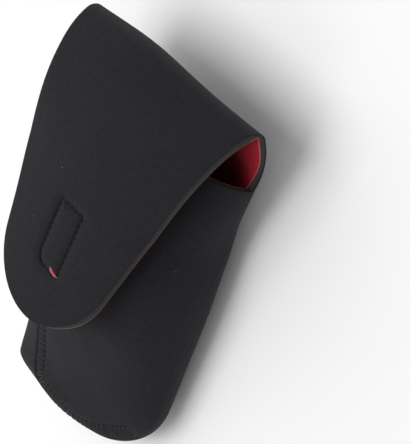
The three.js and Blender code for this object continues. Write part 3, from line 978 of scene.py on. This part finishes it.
class PouchColours(PropertyGroup):
    knit: colour("Black knit", "the outer knit", (0.0112, 0.0112, 0.0142))
    foam: colour("Foam", "the foam's cut edge", (0.038, 0.037, 0.038))
    lining: colour("Red lining", "the lining", (0.36, 0.014, 0.026))
    cut_edge: colour("Cut edge", "the lining's fibres where it is cut", (0.38, 0.095, 0.12))
    tape: colour("Tape", "the hook and loop tapes", (0.014, 0.014, 0.016))
    thread: colour("Black thread", "the seam and box threads", (0.011, 0.011, 0.013))
    red_thread: colour("Red thread", "the loose thread end", (0.62, 0.09, 0.13))
    floor: colour("Floor", "the floor", (0.93, 0.93, 0.93))


def sheet_pieces(part, fine, coarse, bend, solids):
    """Makes a sheet's three layers and hides the solids they stand in for; the foam needs fewer points."""
    made, (first, second, start, end) = {}, bend
    for layer, slot, ending, depths, soften in LAYERS:
        sheet = coarse if layer == "foam" else fine
        cut_finish = pouch_finish("lining_cut") if layer == "lining" else None
        made[layer] = sheet.layer(f"{part}_{layer}", depths, pouch_finish(slot), soften, cut_finish)
        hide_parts(*(f"{solid}_{ending}" for solid in solids))
        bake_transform(made[layer])
    flat = tuple(side / 1000 for side in fine.flat)


class BuildBody(Operator):
    """Wraps the three layers of the body and carries its back over the throat to the fold"""

    bl_idname = "pouch.body"
    bl_label = "Body sheet"

    def execute(self, context):
        sizes = context.scene.pouch_sizes
        fine = BodySheet(sizes)
        sheet_pieces("body", fine, BodySheet(sizes, 2), BODY_TO_FOLD, ("body", "fold"))
        context.scene["pouch_middle_length"] = fine.middle_length
        return {"FINISHED"}


class BuildFlap(Operator):
    """Lays the three layers of the flap from the middle of the fold to the round tip"""

    bl_idname = "pouch.flap"
    bl_label = "Flap sheet"

    def execute(self, context):
        sizes, start = context.scene.pouch_sizes, context.scene["pouch_middle_length"]
        sheet_pieces("flap", FlapSheet(sizes, start), FlapSheet(sizes, start, 2), FOLD_TO_FLAP, ("flap",))
        return {"FINISHED"}


def tape_slab(skein, size, place, low, high):
    """Woven tape with slightly rounded edges, between two heights."""
    sides = [np.linspace(-0.5, 0.5, round(side) + 1) * side for side in size]
    x, s = np.meshgrid(*sides, indexing="ij")
    edge = np.minimum(size[0] / 2 - np.abs(x), size[1] / 2 - np.abs(s))
    round_off = 0.3 * (1 - clamp(edge / 0.4)) * (high - low)
    faces = [place(x, s, high - round_off), place(x, s, low)]
    points = np.concatenate([face.reshape(-1, 3) for face in faces])
    cells, places = cells_of(np.arange(x.size).reshape(x.shape).tolist(), x, s)
    faces, corners, _, _ = layer_faces(cells, x.size, places)
    skein.add(points, faces, corners)


class BuildClosure(Operator):
    """Makes the strip of hooks under the flap and the strip of loops on the front"""

    bl_idname = "pouch.closure"
    bl_label = "Hook and loop strips"

    def execute(self, context):
        self.hooks(context.scene.pouch_sizes.hook_pitch)
        self.loops(context.scene.pouch_sizes.loop_count)
        return {"FINISHED"}

    def hooks(self, pitch):
        """Rows of hooks on their tape, each row bent the other way."""
        skein = Skein()
        base = SHEET + CLEARANCE + HOOK_TAPE
        tape_slab(skein, HOOK_SIZE, at_hooks, SHEET + CLEARANCE, base)
        across, along = (np.arange(-side / 2 + 0.9, side / 2 - 0.6, pitch) for side in HOOK_SIZE)
        bend = np.radians(np.linspace(0, 215, 7))
        lift = np.concatenate([[-0.06, 0.28], 0.5 + HOOK_BEND * np.sin(bend)])
        lean = np.concatenate([[0, 0], HOOK_BEND * (1 - np.cos(bend))])
        for row, s in enumerate(along):
            way = 1 if row % 2 else -1
            for x in across + (row % 2) * pitch / 2:
                if abs(x) <= HOOK_SIZE[0] / 2 - 0.4:
                    path = at_hooks(x, s + way * lean, base + lift)
                    skein.tube(path, np.linspace(0.105, 0.07, len(lift)), sides=5)
        skein.dress("hook_tape_strip", "hook_tape", "flap", "hook_strip")

    def loops(self, count):
        """Loops of chance place and shape on their tape."""
        skein = Skein()
        base = CLEARANCE + LOOP_TAPE
        tape_slab(skein, LOOP_SIZE, at_loops, CLEARANCE, base)
        chance = np.random.default_rng(7)
        edge = np.array(LOOP_SIZE) / 2
        turn = np.linspace(0, math.pi, 7)
        for _ in range(count):
            x, y = chance.uniform(0.5 - edge, edge - 0.5)
            way, width = chance.uniform(0, 2 * math.pi), chance.uniform(0.25, 0.5)
            tall, sway = chance.uniform(0.45, 0.85), chance.uniform(-0.3, 0.3)
            out, side = -width * np.cos(turn), sway * np.sin(turn)
            x = np.clip(x + out * math.cos(way) - side * math.sin(way), -edge[0], edge[0])
            y = np.clip(y + out * math.sin(way) + side * math.cos(way), -edge[1], edge[1])
            skein.tube(at_loops(x, y, base - 0.04 + tall * np.sin(turn)), 0.05, sides=4)
        skein.dress("loop_tape_strip", "loop_tape", "pouch_body", "loop_strip")


def stitch_run(skein, line, step, pitch, radius, place, lift):
    """Stitches along a line: each lies on the face and dives into the hole of its neighbour."""
    at = np.arange(len(line)) * step
    count = max(1, round(at[-1] / pitch))
    t = np.linspace(0.03, 0.97, 11)
    hump = np.sin(np.pi * t) ** 0.45
    thick = radius * (0.72 + 0.28 * np.sin(np.pi * t) ** 0.6)
    for i in range(count):
        x, s = on_line((i + t) * (at[-1] / count), at, line)
        skein.tube(place(x, s, lift * hump - 0.42 * (1 - hump)), thick, sides=8, ply=0.1, lay=1.1)


class BuildBoxStitches(Operator):
    """Sews the boxes that hold the two strips, and lays the red thread end"""

    bl_idname = "pouch.boxes"
    bl_label = "Boxes of stitches"

    def execute(self, context):
        sizes = context.scene.pouch_sizes
        radius, dip = sizes.thread / 2, sizes.box_depth
        outside = lambda x, s, up: at_hooks(x, s, dip - up)
        inside = lambda x, s, up: at_hooks(x, s, SHEET + CLEARANCE + HOOK_TAPE + up)
        lining = lambda x, s, up: at_loops(x, s, 0.25 - up, SHEET)
        face = lambda x, s, up: at_loops(x, s, CLEARANCE + LOOP_TAPE + up)
        hooks, loops = hook_box(BOX_STEP), stitch_box(LOOP_SIZE, LOOP_CORNERS, BOX_STEP)
        for name, body, solid, box, runs in (
            ("hook_box_thread", "flap", "hook_stitches", hooks, ((outside, 1.25, 0.8), (inside, 0.9, 0.6))),
            ("loop_box_thread", "pouch_body", "loop_stitches", loops, ((lining, 1, 0.9), (face, 0.9, 1))),
        ):
            skein = Skein()
            for place, thick, lift in runs:
                stitch_run(skein, box, BOX_STEP, sizes.box_pitch, radius * thick, place, radius * lift)
            skein.dress(name, "black_thread", body, solid)
        self.red_end(dip)
        return {"FINISHED"}

    def red_end(self, dip):
        """Thread that comes out at the box's lower edge and thins to its tip."""
        t = np.linspace(0, 1, 30)
        lift = 0.62 * np.sin(np.pi * clamp(t * 1.1)) ** 0.5 - 0.25
        path = at_hooks(1.5 + 4.6 * t, 11.7 + 1.5 * t, dip * 0.35 - lift)
        radius = 0.52 * np.sqrt(1 - t**3 * 0.92) * np.sin(0.7 + 0.87 * clamp(t * 4))
        skein = Skein()
        skein.tube(path, radius, sides=14, ply=0.12, lay=1.9)
        skein.dress("red_thread_end", "red_thread", "flap", "red_stitch")


class BuildSeam(Operator):
    """Sews the flatlock seam down the left side and along the bottom, outside and on the lining"""

    bl_idname = "pouch.seam"
    bl_label = "Flatlock seam"

    def execute(self, context):
        for name, depth, way, solid in (
            ("seam_cover_thread", 0.0, 1, "seam_thread_outside"),
            ("seam_looper_thread", SHEET, -1, "seam_thread_inside"),
        ):
            skein = self.sewn(context.scene.pouch_sizes, depth, way)
            skein.dress(name, "black_thread", "pouch_body", solid, "seam_thread")
        return {"FINISHED"}

    def sewn(self, sizes, depth, way):
        """Threads side by side, painted near black as painted shade, a zigzag over them and, outside, a line
        of stitches at each edge.
        """
        course = seam_course(depth)
        tangent = unit(np.gradient(course, axis=0))
        side = tangent[:, ::-1] * [1, -1]
        at = np.arange(len(course)) * COURSE_STEP
        radius, half, pitch = sizes.thread / 2 * 0.9, sizes.seam_width / 2, sizes.seam_pitch
        dip = sizes.seam_depth if way > 0 else 0.0

        def place(along, off, up, sink=0.35):
            """Point of a thread; towards the end the seam gets narrow and its threads sink in."""
            there = ramp(at[-1] - along, 0, SEAM_FADE)
            off = off * (0.35 + 0.65 * there)
            x, y = on_line(along, at, course) + off * on_line(along, at, side)
            sunk = dip * there * seam_share(np.abs(off), half)
            wave = uneven(front_point(x, y, 0.0), sizes.swell_height)
            return front_point(x, y, wave - sunk + way * (up - sink * (1 - there)), depth)

        skein = Skein()
        t = np.arange(0, at[-1] - 0.2, 0.16)
        # These threads under the zigzag carry the under mark, so their finish paints them near black as
        # shade
        for off in np.linspace(-0.86, 0.86, 9) * half:
            skein.tube(place(t, off, -0.12), 0.4, sides=5, under=2)
        swing = np.cos(2 * np.pi * t / pitch)
        off = half * np.sign(swing) * np.abs(swing) ** 0.55
        up = radius * 1.3 - 0.12 * np.abs(swing) ** 4
        skein.tube(place(t, off, up), radius * 1.1, ply=0.12, lay=1.2)
        if way > 0:
            for edge in (-half, half):
                rail = lambda along, _, up, edge=edge: place(along, edge, up, 0.4)
                stitch_run(skein, at[:, None] * [1, 0], COURSE_STEP, pitch, radius * 0.8, rail, radius * 0.4)
        return skein


# Stage


class BuildStage(Operator):
    """Sets the floor, the soft lights and the camera at the photograph's viewing angle"""

    bl_idname = "pouch.stage"
    bl_label = "Floor, lights and camera"

    def execute(self, context):
        scene = context.scene
        self.floor(scene)
        for name, place, size, energy in LIGHTS:
            light = bpy.data.lights.new(name, "AREA")
            light.shape, light.size, light.energy = "SQUARE", size, energy
            made = in_scene(name, light)
            made.location = place
            look = Vector((0, 0, 0.02)) - Vector(place)
            made.rotation_euler = look.to_track_quat("-Z", "Y").to_euler()
        world = bpy.data.worlds.new("studio")
        world.use_nodes = True
        colour, strength = world.node_tree.nodes["Background"].inputs[:2]
        colour.default_value, strength.default_value = (1, 1, 1, 1), WORLD_LIGHT
        scene.world = world
        scene.view_settings.view_transform = "Standard"
        self.camera(scene)
        return {"FINISHED"}

    def floor(self, scene):
        mesh = bpy.data.meshes.new("floor")
        mesh.from_pydata([(-3, -3, 0), (3, -3, 0), (3, 3, 0), (-3, 3, 0)], [], [(0, 1, 2, 3)])
        colour = shade(scene.pouch_colours.floor, 1)
        finish = Finish("floor", roughness=0.7, specular_ior_level=0.2, base_color=colour)
        mesh.materials.append(finish.material)
        in_scene("floor", mesh)

    def camera(self, scene):
        """Camera fitted to the pouch's outline, cut edges and stitch box in the photograph."""
        turns = ((CAMERA_YAW, "Y"), (-CAMERA_PITCH, "X"), (CAMERA_ROLL, "Z"))
        yaw, pitch, roll = (Matrix.Rotation(angle, 3, axis) for angle, axis in turns)
        turn = yaw @ pitch @ roll
        place = turn @ Vector(CAMERA_PLACE) - Vector((0, CAMERA_DROP, 0))
        lens = bpy.data.cameras.new("camera")
        lens.sensor_fit, lens.sensor_width = "HORIZONTAL", FILM_WIDTH
        lens.lens = PHOTO_FOCAL / PHOTO_WIDTH * FILM_WIDTH
        lens.clip_start, lens.clip_end = 0.01, 20
        camera = in_scene("camera", lens)
        camera.matrix_world = Matrix.Translation(Vector(metres(place))) @ turn.to_4x4()
        scene.camera = camera


class POUCH_PT_panel(Panel):
    bl_label = "Lens Pouch"
    bl_idname = "POUCH_PT_panel"
    bl_space_type = "VIEW_3D"
    bl_region_type = "UI"
    bl_category = "Pouch"

    def draw(self, context):
        for group in (context.scene.pouch_sizes, context.scene.pouch_colours):
            box = self.layout.box()
            for name in group.__annotations__:
                box.prop(group, name)
        for step in STEPS:
            self.layout.operator(step.bl_idname)


STEPS = (BuildStage, BuildBody, BuildFlap, BuildClosure, BuildBoxStitches, BuildSeam)
CLASSES = (PouchSizes, PouchColours, *STEPS, POUCH_PT_panel)


def register():
    for made in CLASSES:
        bpy.utils.register_class(made)
    bpy.types.Scene.pouch_sizes = PointerProperty(type=PouchSizes)
    bpy.types.Scene.pouch_colours = PointerProperty(type=PouchColours)


def unregister():
    del bpy.types.Scene.pouch_sizes, bpy.types.Scene.pouch_colours
    for made in reversed(CLASSES):
        bpy.utils.unregister_class(made)


def main():
    register()
    ops = bpy.ops.pouch
    for step in (ops.stage, ops.body, ops.flap, ops.closure, ops.boxes, ops.seam):
        step()


if __name__ == "__main__":
    main()
